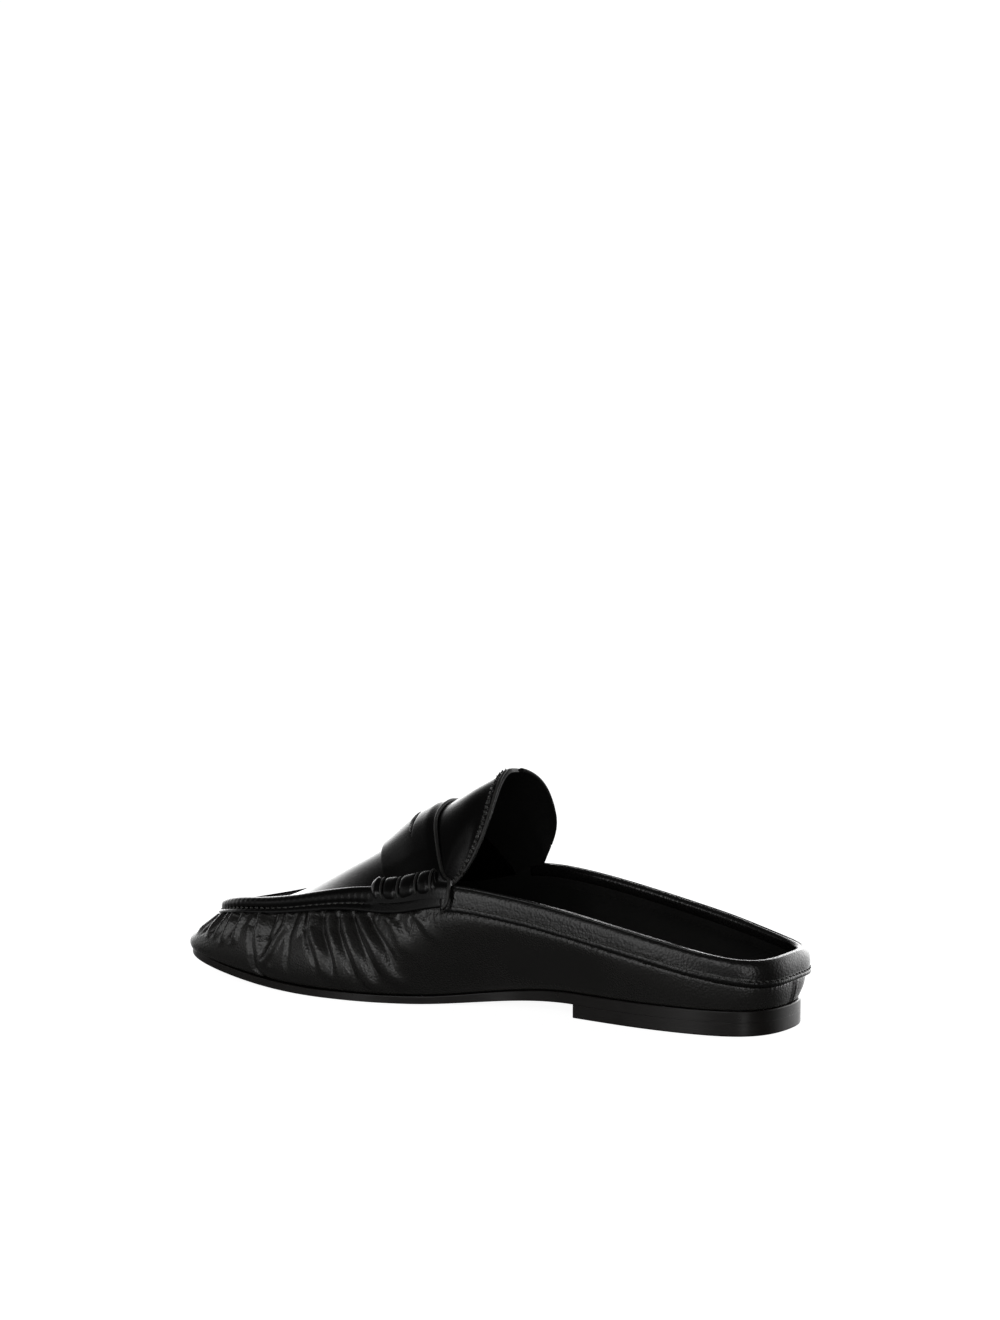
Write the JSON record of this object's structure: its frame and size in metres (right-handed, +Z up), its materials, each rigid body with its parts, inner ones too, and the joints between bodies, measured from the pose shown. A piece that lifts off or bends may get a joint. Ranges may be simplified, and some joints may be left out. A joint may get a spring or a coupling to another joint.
{
  "type": "loafer mule",
  "caption": "Backless slip-on loafer for the right foot: gathered moccasin toe with a raised seam, slotted saddle strap, standing tongue, padded collar band and a low heel.",
  "frame": {"origin": "on the floor, in the middle of the heel's ground face", "axes": "+X from the heel to the toe, +Y to the inner side of the foot, +Z up"},
  "size_m": [0.268, 0.0847, 0.0896],
  "materials": {
    "upper_leather": "satin",
    "lining_leather": "matte",
    "sole_leather": "satin",
    "heel_leather": "satin"
  },
  "bodies": {
    "root": {"heel": "heel_leather", "outsole": "sole_leather", "insole": "lining_leather", "upper": "upper_leather", "tongue": "upper_leather", "apron_seam": "upper_leather", "collar_band": "upper_leather", "strap": "upper_leather"}
  },
  "joints": []
}
